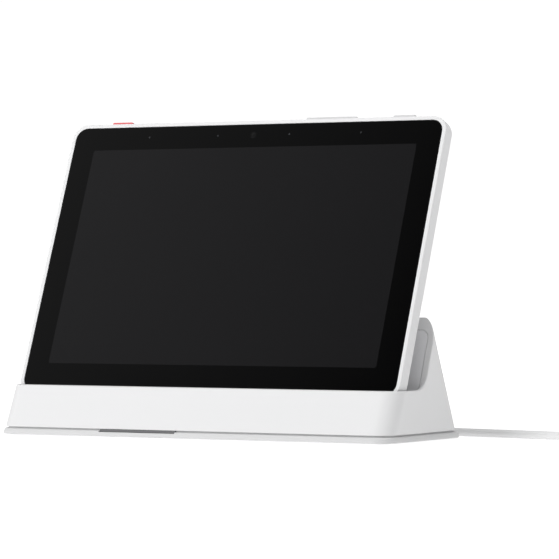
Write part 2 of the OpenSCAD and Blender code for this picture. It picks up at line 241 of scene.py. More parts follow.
def grid_faces(rows: int, columns: int, wrap_rows: bool) -> np.ndarray:
    """Quads of a grid whose columns close on themselves.

    Args:
        rows: number of rows.
        columns: number of points in a row.
        wrap_rows: whether the last row joins the first.

    Returns:
        Four vertex numbers a face.
    """
    i = np.arange(rows if wrap_rows else rows - 1)[:, None]
    j = np.arange(columns)[None, :]
    k, m = (i + 1) % rows, (j + 1) % columns
    return np.stack([i * columns + j, i * columns + m, k * columns + m, k * columns + j], -1).reshape(-1, 4)


def make_piece(name: str, surfaces: list[np.ndarray], wrap_rows: bool = False, capped: bool = True) -> Piece:
    """One closed mesh from grids of points, with its place in the mesh and its faces outward.

    Args:
        name: the piece's name.
        surfaces: arrays of rows, columns and three coordinates, in millimetres.
        wrap_rows: whether each grid's last row joins its first.
        capped: whether a grid that doesn't wrap gets a flat face over each end.

    Returns:
        The new object.
    """
    points, faces, base = [], [], 0
    for grid in surfaces:
        rows, columns = grid.shape[:2]
        faces += (grid_faces(rows, columns, wrap_rows) + base).tolist()
        if capped and not wrap_rows:
            faces.append(list(range(base, base + columns)))
            faces.append(list(range(base + (rows - 1) * columns, base + rows * columns)))
        points.append(grid.reshape(-1, 3))
        base += rows * columns
    mesh = bpy.data.meshes.new(name)
    mesh.from_pydata((np.concatenate(points) * MM).tolist(), [], faces)
    turn_outward(mesh)
    return add_object(name, mesh)


def turn_outward(mesh: bpy.types.Mesh) -> None:
    """Merges a mesh's doubles, turns its faces outward and shades it smooth.

    Args:
        mesh: the mesh to change.
    """
    work = bmesh.new()
    work.from_mesh(mesh)
    bmesh.ops.remove_doubles(work, verts=work.verts, dist=1e-7)
    bmesh.ops.recalc_face_normals(work, faces=work.faces)
    work.to_mesh(mesh)
    work.free()
    mesh.shade_smooth()


def lathe(profile: np.ndarray, middle: np.ndarray, axis: np.ndarray, sides: int = 48) -> np.ndarray:
    """A profile turned round an axis: middle + along*axis + radius*(cos a, sin a) across it.

    Args:
        profile: pairs of radius and distance along the axis, in millimetres.
        middle: the point where the distance along the axis is nothing.
        axis: the axis's direction.
        sides: points round a turn.

    Returns:
        The grid of points, one row for each pair.
    """
    axis = np.asarray(axis, float) / np.linalg.norm(axis)
    across = np.cross(axis, [1.0, 0.0, 0.0] if abs(axis[0]) < 0.9 else [0.0, 1.0, 0.0])
    across /= np.linalg.norm(across)
    third = np.cross(axis, across)
    a = np.linspace(0, 2 * math.pi, sides, endpoint=False)
    spoke = np.cos(a)[:, None] * across + np.sin(a)[:, None] * third
    return np.asarray(middle) + profile[:, None, 1:] * axis + profile[:, None, :1] * spoke[None]


def tube(path: np.ndarray, radius: float, sides: int = 20) -> np.ndarray:
    """A round tube along a path: each ring lies square to the path about its own point.

    The rings' first direction is the upright one with its part along the path taken away, which never
    vanishes here because the path is never upright.

    Args:
        path: points in millimetres.
        radius: the tube's radius.
        sides: points round a ring.

    Returns:
        The grid of points, one row for each point of the path.
    """
    along = np.gradient(path, axis=0)
    along /= np.linalg.norm(along, axis=1)[:, None]
    up = np.array([0.0, 0.0, 1.0]) - along[:, 2:] * along
    up /= np.linalg.norm(up, axis=1)[:, None]
    side = np.cross(along, up)
    a = np.linspace(0, 2 * math.pi, sides, endpoint=False)[None, :, None]
    return path[:, None] + radius * (np.cos(a) * up[:, None] + np.sin(a) * side[:, None])


def carve(piece: Piece, cutters: list[Piece]) -> None:
    """Cuts each cutter's shape out of a piece, and removes the cutter.

    Args:
        piece: the piece to cut.
        cutters: closed meshes, one for each cut.
    """
    for cutter in cutters:
        cut = piece.modifiers.new("cut", "BOOLEAN")
        cut.object = cutter
        cut.solver = "EXACT"
        graph = bpy.context.evaluated_depsgraph_get()
        mesh = bpy.data.meshes.new_from_object(piece.evaluated_get(graph))
        piece.modifiers.remove(cut)
        piece.data = mesh
        bpy.data.objects.remove(cutter)


def round_edges(node: Piece, radius: float) -> None:
    """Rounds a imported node's sharp edges with real geometry.

    The node is loose triangles, so they are joined into flat faces first.

    Args:
        node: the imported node.
        radius: the rounding in millimetres.
    """
    flat_angle, sharp_angle = math.radians(0.4), math.radians(28.0)
    node.modifiers.new("weld", "WELD").merge_threshold = 1e-6
    flat = node.modifiers.new("flat", "DECIMATE")
    flat.decimate_type = "DISSOLVE"
    flat.angle_limit = flat_angle
    edge = node.modifiers.new("edge", "BEVEL")
    edge.limit_method = "ANGLE"
    edge.angle_limit = sharp_angle
    edge.width = radius * MM
    edge.segments = 3
    edge.use_clamp_overlap = False
    edge.miter_outer = "MITER_ARC"
    weighted = node.modifiers.new("shade", "WEIGHTED_NORMAL")
    weighted.keep_sharp = True
    weighted.weight = 60


# ---------- finishes ----------


class Pattern(Enum):
    """How a finish's surface varies."""

    GRAIN = "fine grain"
    BRUSHED = "brushed"
    TRACES = "circuit traces"


@dataclass
class Workshop:
    """The shared shader groups, each built once and placed in every material that uses it."""

    groups: dict[Pattern, Tree] = field(default_factory=dict)

    def group(self, pattern: Pattern) -> Tree:
        """The group for a pattern, built the first time it is asked for.

        Args:
            pattern: which group.

        Returns:
            The group, which puts out Mask, Polish and Height.
        """
        if pattern not in self.groups:
            tree = bpy.data.node_groups.new(pattern.value, "ShaderNodeTree")
            for name, kind in (("Vector", "NodeSocketVector"), ("Scale", "NodeSocketFloat")):
                tree.interface.new_socket(name, in_out="INPUT", socket_type=kind)
            for name in ("Mask", "Polish", "Height"):
                tree.interface.new_socket(name, in_out="OUTPUT", socket_type="NodeSocketFloat")
            build = {
                Pattern.GRAIN: self.build_grain,
                Pattern.BRUSHED: self.build_brushed,
                Pattern.TRACES: self.build_traces,
            }
            build[pattern](tree, tree.nodes.new("NodeGroupInput"), tree.nodes.new("NodeGroupOutput"))
            self.groups[pattern] = tree
        return self.groups[pattern]

    @staticmethod
    def noise(tree: Tree, start: Node, share: float, detail: float) -> Node:
        """A noise texture whose scale is a share of the group's own.

        Args:
            tree: the group.
            start: its input node.
            share: the noise's scale over the group's.
            detail: how much fine detail it has.

        Returns:
            The texture node.
        """
        scale = tree.nodes.new("ShaderNodeMath")
        scale.operation = "MULTIPLY"
        scale.inputs[1].default_value = share
        texture = tree.nodes.new("ShaderNodeTexNoise")
        texture.inputs["Detail"].default_value = detail
        tree.links.new(start.outputs["Scale"], scale.inputs[0])
        tree.links.new(scale.outputs[0], texture.inputs["Scale"])
        tree.links.new(start.outputs["Vector"], texture.inputs["Vector"])
        return texture

    def build_grain(self, tree: Tree, start: Node, end: Node) -> None:
        """Moulded plastic: broad faint clouds, a middling polish variation and a fine spark-eroded grain."""
        for name, share, detail in (("Mask", 0.012, 2.0), ("Polish", 0.08, 3.0), ("Height", 1.0, 1.0)):
            tree.links.new(self.noise(tree, start, share, detail).outputs["Fac"], end.inputs[name])

    def build_brushed(self, tree: Tree, start: Node, end: Node) -> None:
        """Drawn metal: noise stretched twenty-fold along X.

        Args:
            tree: the group.
            start: its input node.
            end: its output node.
        """
        squeeze = tree.nodes.new("ShaderNodeVectorMath")
        squeeze.operation = "MULTIPLY"
        squeeze.inputs[1].default_value = (0.05, 1.0, 1.0)
        tree.links.new(start.outputs["Vector"], squeeze.inputs[0])
        for name, share in (("Mask", 0.05), ("Polish", 0.4), ("Height", 1.0)):
            texture = self.noise(tree, start, share, 2.0)
            tree.links.new(squeeze.outputs[0], texture.inputs["Vector"])
            tree.links.new(texture.outputs["Fac"], end.inputs[name])

    def build_traces(self, tree: Tree, start: Node, end: Node) -> None:
        """A circuit board: thin borders of square cells as raised tracks.

        Args:
            tree: the group.
            start: its input node.
            end: its output node.
        """
        cells = tree.nodes.new("ShaderNodeTexVoronoi")
        cells.distance = "CHEBYCHEV"
        set_inputs(cells, {"Randomness": 0.75})
        ramp = tree.nodes.new("ShaderNodeMapRange")
        set_inputs(ramp, {"From Min": 0.42, "From Max": 0.48})
        tree.links.new(start.outputs["Vector"], cells.inputs["Vector"])
        tree.links.new(start.outputs["Scale"], cells.inputs["Scale"])
        tree.links.new(cells.outputs["Distance"], ramp.inputs["Value"])
        for name in ("Mask", "Polish", "Height"):
            tree.links.new(ramp.outputs["Result"], end.inputs[name])


WORKSHOP = Workshop()


@dataclass(frozen=True)
class Finish:
    """One material: two close colours, a span of roughness, a relief, and the plain shader settings."""

    name: str
    slot: str
    colour: Colour
    second: Colour
    roughness: tuple[float, float]
    scale: float = 2600.0
    relief: float = 0.00002
    pattern: Pattern = Pattern.GRAIN
    metallic: float = 0.0
    specular: float = 0.5
    coat: float = 0.0
    scatter: float = 0.0

    def material(self) -> bpy.types.Material:
        """The Blender material, made the first time it is asked for.

        Returns:
            The material.
        """
        if self.name in bpy.data.materials:
            return bpy.data.materials[self.name]
        made = bpy.data.materials.new(self.name)
        made.use_nodes = True
        tree = made.node_tree
        shader = tree.nodes["Principled BSDF"]
        set_inputs(shader, {"Metallic": self.metallic, "Specular IOR Level": self.specular})
        set_inputs(shader, {"Coat Weight": self.coat, "Coat Roughness": 0.06})
        set_inputs(shader, {"Subsurface Weight": self.scatter, "Subsurface Scale": 0.002})
        place = tree.nodes.new("ShaderNodeTexCoord")
        pattern = tree.nodes.new("ShaderNodeGroup")
        pattern.node_tree = WORKSHOP.group(self.pattern)
        set_inputs(pattern, {"Scale": self.scale})
        tree.links.new(place.outputs["Object"], pattern.inputs["Vector"])
        mix = tree.nodes.new("ShaderNodeMix")
        mix.data_type = "RGBA"
        set_inputs(mix, {"A": (*self.colour, 1.0), "B": (*self.second, 1.0)})
        tree.links.new(pattern.outputs["Mask"], mix.inputs["Factor"])
        tree.links.new(mix.outputs["Result"], shader.inputs["Base Color"])
        polish = tree.nodes.new("ShaderNodeMapRange")
        set_inputs(polish, {"To Min": self.roughness[0], "To Max": self.roughness[1]})
        tree.links.new(pattern.outputs["Polish"], polish.inputs["Value"])
        tree.links.new(polish.outputs["Result"], shader.inputs["Roughness"])
        bump = tree.nodes.new("ShaderNodeBump")
        set_inputs(bump, {"Strength": 0.5, "Distance": self.relief})
        tree.links.new(pattern.outputs["Height"], bump.inputs["Height"])
        tree.links.new(bump.outputs["Normal"], shader.inputs["Normal"])
        return made

    def dress(self, piece: Piece) -> Piece:
        """Gives a piece this finish all over.

        Args:
            piece: the piece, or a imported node.

        Returns:
            The same piece.
        """
        piece.data.materials.clear()
        piece.data.materials.append(self.material())
        return piece


WHITE = Finish("satin_white", "white_shell", (0.72, 0.72, 0.726), (0.71, 0.711, 0.716), (0.4, 0.5))
BASE_WHITE = Finish("base_white", "white_base", (0.62, 0.62, 0.625), (0.605, 0.606, 0.61), (0.42, 0.52))
KEY_WHITE = Finish("key_white", "white_shell", (0.63, 0.63, 0.635), (0.615, 0.615, 0.62), (0.4, 0.5))
# The backrest panel is the shell's white made lighter: painted light that lifts the shade behind the tablet.
# Its roughness and relief are its own.
BACKREST_PAINTED_LIGHT = Finish("backrest_white_painted_light", "soft_grey", (0.77, 0.77, 0.785), (0.75, 0.75, 0.765), (0.6, 0.7),
                    relief=0.00003)
PAD_GREY = Finish("pad_grey", "soft_grey", (0.42, 0.42, 0.43), (0.4, 0.4, 0.41), (0.65, 0.8), relief=0.00004)
INK = Finish("printed_border", "screen_glass", (0.0007, 0.0007, 0.0008), (0.0006, 0.0006, 0.0007),
             (0.02, 0.05), relief=0.0)
WINDOW = Finish("unlit_display", "screen_glass", (0.0086, 0.0084, 0.0091), (0.008, 0.0079, 0.0085),
                (0.02, 0.05), relief=0.0)
LENS = Finish("camera_lens", "screen_glass", (0.0012, 0.0012, 0.0016), (0.001, 0.001, 0.0014), (0.0, 0.03),
              relief=0.0, specular=0.9)
HOLE_RING = Finish("hole_ring", "screen_glass", (0.03, 0.032, 0.035), (0.025, 0.027, 0.03), (0.2, 0.3))
RED = Finish("red_key", "red_key", (0.22, 0.036, 0.035), (0.205, 0.033, 0.032), (0.35, 0.45), scatter=0.05)
CABLE_JACKET = Finish("cable_jacket", "cable_white", (0.71, 0.71, 0.713), (0.69, 0.69, 0.693),
                      (0.38, 0.5), scale=1800.0)
FOOT_RUBBER = Finish("foot_rubber", "foot_rubber", (0.42, 0.42, 0.42), (0.38, 0.38, 0.38), (0.75, 0.9),
                     relief=0.00005)
FOAM = Finish("black_foam", "black_foam", (0.02, 0.02, 0.02), (0.03, 0.03, 0.03), (0.85, 0.95),
              1500.0, 0.00008)
DARK_GLASS = Finish("dark_panel", "screen_panel", (0.01, 0.011, 0.012), (0.014, 0.015, 0.016), (0.08, 0.14))
DIFFUSER = Finish("diffuser", "light_panel", (0.75, 0.75, 0.74), (0.7, 0.7, 0.7), (0.5, 0.6))
BLACK = Finish("moulded_black", "black_plastic", (0.016, 0.016, 0.018), (0.022, 0.022, 0.024), (0.45, 0.6))
# The light guide's dark grey is painted shade for the recess in the base's groove. Its gloss and coat are its
# own.
GROOVE_PAINTED_SHADE = Finish("groove_painted_shade", "smoked", (0.15, 0.15, 0.155), (0.13, 0.13, 0.135), (0.12, 0.22), coat=0.3)
BOARD = Finish("green_board", "board", (0.012, 0.1, 0.05), (0.03, 0.2, 0.1), (0.3, 0.45), 420.0, 0.00004,
               Pattern.TRACES)
FLEX = Finish("amber_flex", "flex", (0.45, 0.2, 0.05), (0.55, 0.28, 0.08), (0.35, 0.5), 700.0, 0.00002,
              Pattern.TRACES)
ALLOY = Finish("stamped_alloy", "alloy", (0.62, 0.62, 0.64), (0.55, 0.55, 0.57), (0.3, 0.45), 3000.0, 0.00001,
               Pattern.BRUSHED, 1.0)
STEEL = Finish("plated_steel", "steel", (0.58, 0.58, 0.6), (0.5, 0.5, 0.52), (0.22, 0.4), 3000.0, 0.00001,
               Pattern.BRUSHED, 1.0)
GOLD = Finish("gold_plate", "gold_plate", (0.83, 0.6, 0.25), (0.78, 0.55, 0.2), (0.15, 0.3), 2600.0, 0.00001,
              Pattern.GRAIN, 1.0)
FOIL = Finish("pouch_foil", "battery_foil", (0.5, 0.5, 0.52), (0.42, 0.42, 0.44), (0.3, 0.5), 900.0, 0.00006,
              Pattern.GRAIN, 0.8)


# ---------- tablet ----------


@dataclass
class Tablet:
    """The glass, its white frame, the rear cover, the keys and the marks on the glass's top border."""

    up: np.ndarray
    panel_margin: float = 2.0
    window_radius: float = 0.9
    glass_radius: float = 5.8
    frame_radius: float = 7.8
    glass_edge: float = 0.3
    glass_gap: float = 0.06
    frame_wall: float = 1.8
    ledge: tuple[float, float] = (1.55, 2.5)
    ledge_width: float = 2.6
    lip_edge: float = 0.55
    seam_edge: float = 0.14
    back_edge: float = 3.0
    wall: float = 2.2
    back_wall: float = 1.3
    key_gap: float = 0.22
    flange_side: float = 1.0
    flange_height: float = 0.55
    key_height: float = 4.8
    key_radius: float = 0.95
    microphone_reach: float = 18.7

    def build(self) -> None:
        """Builds and dresses every piece of the tablet."""
        for name, piece in (
            ("cover_glass", self.glass()),
            ("front_frame", self.frame()),
            ("rear_cover", self.cover()),
        ):
            place_on(piece, "tablet", name)
        self.marks()
        for node, finish in (("call_button", RED), ("volume_rocker", KEY_WHITE), ("power_button", KEY_WHITE)):
            place_on(finish.dress(self.key(node)), node, node)
        self.insides()

    def glass(self) -> Piece:
        """The cover glass, whose lit area is a face of its own inside the printed border.

        Returns:
            The piece.
        """
        slab = Leaning.of("cover_glass", self.up)
        panel = Leaning.of("display_panel", self.up)
        margin = 2 * self.panel_margin
        lit = Rounded(panel.width - margin, panel.height - margin, self.window_radius).rows(np.zeros(1))
        window = slab.place(lit[..., 0], 0, lit[..., 1] + slab.reach(panel)[1] + panel.height / 2)
        edge = bend(270, 180, (self.glass_edge, self.glass_edge), self.glass_edge)
        rim = slab.sweep(np.vstack([edge, [[0, slab.depth]]]), self.glass_radius)
        piece = make_piece("tablet_glass", [np.concatenate([window, rim])])
        INK.dress(piece)
        piece.data.materials.append(WINDOW.material())
        front = [face for face in piece.data.polygons if len(face.vertices) > 4 and face.normal.y < 0]
        front[0].material_index = 1
        return shade(piece)

    def frame(self) -> Piece:
        """The white front frame: a ring whose section is a lip, an outer wall and a ledge under the glass.

        Returns:
            The piece.
        """
        slab = Leaning.of("front_frame", self.up)
        glass = Leaning.of("cover_glass", self.up)
        lip = (slab.width - glass.width) / 2 - self.glass_gap
        deep, wall, inner = slab.depth, self.frame_wall, lip + self.ledge_width
        top, bottom = self.ledge
        profile = np.vstack(
            [
                bend(270, 180, (self.lip_edge, self.lip_edge), self.lip_edge, 7),
                bend(180, 90, (self.seam_edge, deep - self.seam_edge), self.seam_edge, 4),
                [[wall, deep], [wall, bottom], [inner, bottom], [inner, top], [lip, top]],
                bend(360, 270, (lip - 0.1, 0.1), 0.1, 3),
            ]
        )
        piece = make_piece("tablet_frame", [slab.sweep(profile, self.frame_radius)], wrap_rows=True)
        cutters = [self.key_cutter(slab, node) for node in ("call_button", "volume_rocker", "power_button")]
        carve(piece, [*cutters, self.contact_cutter(slab)])
        return WHITE.dress(shade(piece))

    def key_cutter(self, slab: Leaning, node: str) -> Piece:
        """A long round-ended hole through the frame's top wall.

        Args:
            slab: the frame's slab.
            node: the key that goes through it.

        Returns:
            The shape to cut away.
        """
        key = Leaning.of(node, self.up)
        depth = slab.reach(key)[0] + key.depth / 2
        length = key.width - 2 * self.flange_side + 2 * self.key_gap
        rows = Rounded(length, key.depth + 2 * self.key_gap, self.key_radius + 0.2).rows(np.zeros(2))
        up = np.array([[slab.height - 3.5], [slab.height + 2.0]])
        return make_piece("cutter", [slab.place(rows[..., 0] + key.corner[0], rows[..., 1] + depth, up)])

    @staticmethod
    def contact_cutter(slab: Leaning) -> Piece:
        """The opening in the frame's bottom wall for the charging contacts.

        Args:
            slab: the frame's slab.

        Returns:
            The shape to cut away.
        """
        width, depth, middle = 24.2, 4.1, 4.75
        rows = Rounded(width, depth, 0.4).rows(np.zeros(2))
        up = np.array([[-1.0], [3.0]])
        return make_piece("cutter", [slab.place(rows[..., 0], rows[..., 1] + middle, up)])

    def cover(self) -> Piece:
        """The rear cover: a dished shell with a quarter-round edge and rows of sound holes.

        Returns:
            The piece.
        """
        slab = Leaning.of("rear_cover", self.up)
        deep, edge, wall, seam = slab.depth, self.back_edge, self.wall, self.seam_edge
        floor, inner, middle = deep - self.back_wall, 1.0, 14
        profile = np.vstack(
            [
                [[middle, deep]],
                bend(90, 176, (edge, 0), edge, 12),
                bend(180, 270, (seam, seam), seam, 4),
                [[wall, 0], [wall, floor - inner]],
                bend(180, 90, (wall + inner, floor - inner), inner, 4),
                [[middle, floor]],
            ]
        )
        piece = make_piece("tablet_back", [slab.sweep(profile, self.frame_radius)])
        carve(piece, [self.sound_cutter("speaker_left"), self.sound_cutter("speaker_right")])
        return WHITE.dress(shade(piece))

    def sound_cutter(self, speaker: str, pitch: float = 2.4, radius: float = 0.65) -> Piece:
        """Three rows of eight holes over a speaker.

        Args:
            speaker: the speaker's node.
            pitch: distance between holes.
            radius: a hole's radius.

        Returns:
            The holes as one shape to cut away.
        """
        slab = Leaning.of(speaker, self.up)
        x, up = np.meshgrid((np.arange(8) - 3.5) * pitch, slab.height / 2 + (np.arange(3) - 1) * pitch)
        through = slab.place(0, 1, 0) - slab.place(0, 0, 0)
        profile = np.array([[radius, -1.0], [radius, 4.0]])
        middles = slab.place(x.ravel(), slab.depth - 1.0, up.ravel())
        return make_piece("cutter", [lathe(profile, middle, through, 20) for middle in middles])

    def key(self, node: str) -> Piece:
        """A key: a flange inside the wall and a round-ended stem with a softened top.

        Args:
            node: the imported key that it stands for.

        Returns:
            The piece.
        """
        slab = Leaning.of(node, self.up)
        length, thick, soft = slab.width - 2 * self.flange_side, slab.depth, 0.5
        foot = slab.height - self.key_height
        step = foot + self.flange_height
        flange = Rounded(slab.width, thick, 0.3).rows(np.zeros(2))
        profile = np.vstack([[[0, step]], bend(180, 90, (soft, slab.height - soft), soft, 6)])
        stem = Rounded(length, thick, self.key_radius).rows(profile[:, 0])
        rows = np.concatenate([flange, stem])
        up = np.concatenate([[foot, step], profile[:, 1]])[:, None]
        return shade(make_piece(node + "_cap", [slab.place(rows[..., 0], rows[..., 1] + thick / 2, up)]))

    def marks(self) -> None:
        """The camera's lens and ring, and the four microphone marks, set a hair proud of the glass."""
        glass = Leaning.of("cover_glass", self.up)
        out = glass.place(0, -1, 0) - glass.place(0, 0, 0)
        camera = Leaning.of("front_camera", self.up)
        spot = glass.place(camera.corner[0], 0, glass.reach(camera)[1] + camera.height / 2)
        ring = np.array([[1.45, -0.2], [1.45, 0.01], [1.35, 0.02], [1.1, 0.02], [1.05, 0.005], [1.05, -0.2]])
        lens = np.array([[0, -0.2], [1.04, -0.2], [1.04, -0.01], [0.7, 0.01], [0.35, 0.02], [0, 0.024]])
        place_on(INK.dress(make_piece("camera_ring", [lathe(ring, spot, out)], wrap_rows=True)), "tablet")
        place_on(LENS.dress(make_piece("camera_lens", [lathe(lens, spot, out)], capped=False)), "tablet")
        dot = np.array([[0, -0.2], [0.42, -0.2], [0.42, 0.006], [0.36, 0.014], [0, 0.014]])
        for board in ("mic_board_left", "mic_board_right"):
            middle = Leaning.of(board, self.up)
            up = glass.reach(middle)[1] + middle.height / 2
            spots = [glass.place(middle.corner[0] + way * self.microphone_reach, 0, up) for way in (-1, 1)]
            dots = make_piece(board + "_marks", [lathe(dot, at, out, 24) for at in spots], capped=False)
            place_on(HOLE_RING.dress(dots), "tablet")

    @staticmethod
    def insides() -> None:
        """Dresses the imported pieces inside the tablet."""
        finishes = {
            FOAM: ["glass_gasket"],
            DARK_GLASS: ["display_panel"],
            DIFFUSER: ["backlight"],
            ALLOY: ["mid_plate"],
            BOARD: ["main_board", "mic_board_left", "mic_board_right"],
            STEEL: ["board_shields", "plate_screws"],
            FOIL: ["battery_left", "battery_right"],
            BLACK: ["speaker_left", "speaker_right", "front_camera"],
            FLEX: ["antenna", "display_flex", "button_flex"],
            WHITE: ["contact_block"],
            GOLD: ["contact_pads"],
        }
        dress_nodes(finishes)


# ---------- dock ----------


@dataclass
class Dock:
    """The wedge-shaped body, its flared base and what stands on the table."""

    edges: tuple[tuple[str, float], ...] = (
        ("dock_shell", 0.45), ("backrest_panel", 0.15), ("light_guide", 0.2), ("rest_pads", 0.3),
        ("slot_liner", 0.15), ("pogo_block", 0.2),
    )
    base_radius: float = 8.8
    base_flare: float = 1.2
    groove: float = 2.2
    spigot: float = 4.6
    foot_hole: float = 4.55
    screw_head: tuple[float, float] = (2.8, 1.4)
    screw_stem: float = 1.6
    light_notch: float = 2.3
    cord_notch: float = 4.3

    def build(self) -> None:
        """Builds and dresses every piece of the dock."""
        nodes = FRAME["nodes"]
        for node, radius in self.edges:
            round_edges(nodes[node], radius)
        place_on(BASE_WHITE.dress(self.base()), "dock", "base_plate")
        for node in FEET:
            place_on(FOOT_RUBBER.dress(self.foot(node)), "dock", node)
        finishes = {
            WHITE: ["dock_shell"],
            # backrest_panel: the shell's white made lighter, painted light in the shade behind the tablet
            BACKREST_PAINTED_LIGHT: ["backrest_panel"],
            # light_guide: dark grey, painted shade for the recess in the groove
            GROOVE_PAINTED_SHADE: ["light_guide"],
            PAD_GREY: ["rest_pads", "slot_liner"],
            STEEL: ["base_screws", "ballast_left", "ballast_right", "pogo_springs"],
            BLACK: ["pogo_block"],
            GOLD: ["pogo_barrels", "pogo_pins"],
            BOARD: ["charge_board", "light_board"],
            BASE_WHITE: ["cable_clamp", "lead_plug"],
            CABLE_JACKET: ["inner_lead"],
        }
        dress_nodes(finishes)

    def base(self) -> Piece:
        """The base: a tray whose skirt stands upright, curves in under the body and ends in a groove.

        Returns:
            The piece.
        """
        low, high = box_mm("base_plate")
        deck, straight, foot_edge, middle = 3.0, 1.2, 0.4, 20
        top = box_mm("dock_shell")[0][2] - 0.02
        floor, outer, inner = 2.4, self.spigot, self.spigot + 1.6
        t = np.linspace(0, math.pi / 2, 8)
        curve = straight + (deck - straight) * np.sin(t)
        skirt = np.stack([self.base_flare * (1 - np.cos(t)), curve], axis=1)
        profile = np.vstack(
            [
                [[middle, low[2]]],
                bend(270, 180, (foot_edge, low[2] + foot_edge), foot_edge),
                skirt,
                [[self.groove, deck], [self.groove, top], [outer, top]],
                [[outer, high[2]], [inner, high[2]], [inner, floor], [middle, floor]],
            ]
        )
        size = high - low
        rows = Rounded(size[0], size[1], self.base_radius, 16).rows(profile[:, 0])
        level = np.broadcast_to(profile[:, 1:], rows.shape[:2])
        piece = make_piece("dock_base", [np.dstack([rows, level])])
        light = self.notch("light_guide", self.light_notch)
        cord = self.notch("strain_relief", self.cord_notch)
        carve(piece, [self.pockets(), light, cord])
        return shade(piece)

    def pockets(self) -> Piece:
        """The pockets for the feet and the screws' heads, and the screws' holes, as one shape.

        Returns:
            The shape to cut away.
        """
        rise = np.array([0.0, 0.0, 1.0])
        shapes = []
        for node in FEET:
            low, high = box_mm(node)
            pocket = np.array([[(high - low)[0] / 2 + 0.05, -1], [self.foot_hole, high[2] + 0.05]])
            shapes.append(lathe(pocket, np.array([*(low + high)[:2] / 2, 0.0]), rise))
        low, high = box_mm("base_screws")
        (head, deep), stem = self.screw_head, self.screw_stem
        screw = np.array([[head + 0.3, -1], [head + 0.3, deep], [stem, deep], [stem, 5]])
        for x in (low[0] + head, high[0] - head):
            for y in (low[1] + head, high[1] - head):
                shapes.append(lathe(screw, np.array([x, y, 0.0]), rise, 32))
        return make_piece("cutter", shapes)

    @staticmethod
    def notch(node: str, floor: float) -> Piece:
        """A square notch through the base's rim, where a node passes it.

        Args:
            node: the node that passes the rim.
            floor: height of the notch's floor.

        Returns:
            The shape to cut away.
        """
        low, high = box_mm(node)
        edge, inner = box_mm("base_plate")[0][1] - 1, 29.5
        y = (edge, -inner) if low[1] < 0 else (inner, -edge)
        rows = Rounded(high[0] - low[0] + 0.2, y[1] - y[0], 0.2).rows(np.zeros(2))
        rows += [(low[0] + high[0]) / 2, (y[0] + y[1]) / 2]
        level = np.broadcast_to(np.array([[floor], [8.0]]), rows.shape[:2])
        return make_piece("cutter", [np.dstack([rows, level])])

    @staticmethod
    def foot(node: str) -> Piece:
        """A rubber foot with a softened rim and a shallow ring groove in its face.

        Args:
            node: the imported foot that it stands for.

        Returns:
            The piece.
        """
        low, high = box_mm(node)
        r, top = (high - low)[0] / 2, high[2]
        rim = bend(0, -90, (r - 0.35, 0.35), 0.35, 5)
        face = np.array([[r - 1.2, 0], [r - 1.35, 0.15], [r - 1.6, 0.15], [r - 1.75, 0], [0, 0]])
        profile = np.vstack([[[0, top], [r, top]], rim, face])
        middle = np.array([*(low + high)[:2] / 2, 0.0])
        return shade(make_piece(node + "_pad", [lathe(profile, middle, np.array([0, 0, 1.0]))], capped=False))


# ---------- cable ----------


